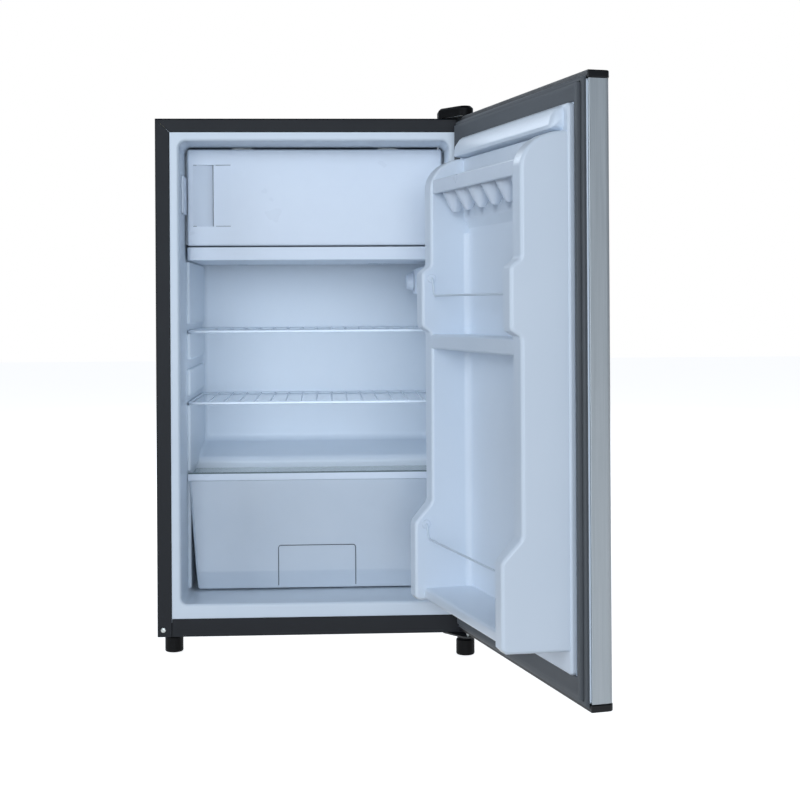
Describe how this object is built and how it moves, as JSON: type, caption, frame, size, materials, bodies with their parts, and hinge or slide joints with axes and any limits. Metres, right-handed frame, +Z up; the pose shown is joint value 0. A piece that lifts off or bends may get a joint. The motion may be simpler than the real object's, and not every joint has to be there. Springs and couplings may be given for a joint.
{
  "type": "compact refrigerator",
  "caption": "Compact refrigerator standing with its door open, with a freezer flap, wire shelves, a crisper drawer under a glass cover and moulded door bins.",
  "frame": {"origin": "on the floor, at the centre of the base of the whole object's box with the door open", "axes": "+Z up, -Y towards the front of the cabinet, +X towards the hinge side on the viewer's right"},
  "size_m": [0.6, 0.9172, 0.829],
  "materials": {
    "charcoal_enamel": "satin",
    "zinc_sheet": "satin",
    "insulation_foam": "matte",
    "white_polystyrene": "satin",
    "clear_polystyrene": "gloss",
    "coated_wire": "satin",
    "safety_glass": "polished",
    "aluminium_sheet": "satin",
    "brushed_steel": "satin",
    "black_plastic": "matte",
    "black_enamel": "satin",
    "black_rubber": "matte",
    "grey_seal": "matte",
    "copper_tube": "satin"
  },
  "bodies": {
    "cabinet": {"cabinet_shell": "charcoal_enamel", "front_bottom_rail": "charcoal_enamel", "rear_panel": "zinc_sheet", "base_plate": "zinc_sheet", "compressor_bay_panel": "zinc_sheet", "cabinet_foam": "insulation_foam", "inner_liner": "white_polystyrene", "freezer_catch": "white_polystyrene", "evaporator_box": "aluminium_sheet", "thermostat_housing": "white_polystyrene", "top_hinge_bracket": "zinc_sheet", "top_hinge_pin": "zinc_sheet", "top_hinge_cover": "black_plastic", "lower_hinge_bracket": "black_enamel", "lower_hinge_pin": "zinc_sheet", "rear_foot_left": "black_plastic", "rear_foot_right": "black_plastic", "compressor_base": "zinc_sheet", "compressor_shell": "black_enamel", "compressor_mount_plate": "zinc_sheet", "grommet_1": "black_rubber", "grommet_2": "black_rubber", "grommet_3": "black_rubber", "grommet_4": "black_rubber", "relay_cover": "black_plastic", "cord_gland": "black_plastic", "evaporation_pan": "black_plastic", "drain_tube": "black_plastic", "discharge_line": "copper_tube", "condenser_tube": "black_enamel", "filter_drier": "copper_tube", "capillary_tube": "copper_tube", "suction_line": "copper_tube", "condenser_wires_inner": "black_enamel", "condenser_wires_outer": "black_enamel", "condenser_bracket_left": "black_enamel", "condenser_bracket_right": "black_enamel", "freezer_door_pin": "zinc_sheet", "freezer_pin_bracket": "white_polystyrene"},
    "door": {"door_panel": "brushed_steel", "door_foam": "insulation_foam", "door_liner": "white_polystyrene", "door_gasket": "grey_seal", "door_top_cap": "black_plastic", "door_bottom_cap": "black_plastic", "door_bush_top": "white_polystyrene", "door_bush_bottom": "white_polystyrene", "egg_rack": "white_polystyrene", "guard_rail_upper": "coated_wire", "guard_rail_lower": "coated_wire"},
    "freezer_door": {"freezer_door": "white_polystyrene"},
    "crisper": {"crisper_drawer": "clear_polystyrene"},
    "crisper_cover": {"crisper_cover_trim": "white_polystyrene", "crisper_cover_glass": "safety_glass"},
    "shelf_upper": {"shelf_upper": "coated_wire"},
    "shelf_lower": {"shelf_lower": "coated_wire"},
    "drip_tray": {"drip_tray": "white_polystyrene"},
    "thermostat_knob": {"thermostat_knob": "white_polystyrene"},
    "front_foot_left": {"front_foot_left": "black_plastic"},
    "front_foot_right": {"front_foot_right": "black_plastic"}
  },
  "joints": [
    {"name": "door_swing", "type": "hinge", "parent": "cabinet", "child": "door", "pos_m": [0.16796, -0.0016, 0.41], "axis": [0, 0, 1], "range_deg": [-104, 10]},
    {"name": "freezer_door_swing", "type": "hinge", "parent": "cabinet", "child": "freezer_door", "pos_m": [0.13446, 0.1109, 0.7], "axis": [0, 0, 1], "range_deg": [0, 70]},
    {"name": "crisper_slide", "type": "slide", "parent": "cabinet", "child": "crisper", "axis": [0, -1, 0], "range_m": [0, 0.14]},
    {"name": "crisper_cover_slide", "type": "slide", "parent": "cabinet", "child": "crisper_cover", "axis": [0, -1, 0], "range_m": [0, 0.14]},
    {"name": "shelf_upper_slide", "type": "slide", "parent": "cabinet", "child": "shelf_upper", "axis": [0, -1, 0], "range_m": [0, 0.14]},
    {"name": "shelf_lower_slide", "type": "slide", "parent": "cabinet", "child": "shelf_lower", "axis": [0, -1, 0], "range_m": [0, 0.14]},
    {"name": "drip_tray_slide", "type": "slide", "parent": "cabinet", "child": "drip_tray", "axis": [0, -1, 0], "range_m": [0, 0.12]},
    {"name": "thermostat_turn", "type": "hinge", "parent": "cabinet", "child": "thermostat_knob", "pos_m": [0.10336, 0.2634, 0.569], "axis": [-1, 0, 0], "range_deg": [0, 270]},
    {"name": "front_foot_left_turn", "type": "hinge", "parent": "cabinet", "child": "front_foot_left", "pos_m": [-0.27984, 0.0684, 0.01], "axis": [0, 0, 1], "continuous": true},
    {"name": "front_foot_right_turn", "type": "hinge", "parent": "cabinet", "child": "front_foot_right", "pos_m": [0.16446, 0.0154, 0.01], "axis": [0, 0, 1], "continuous": true}
  ]
}
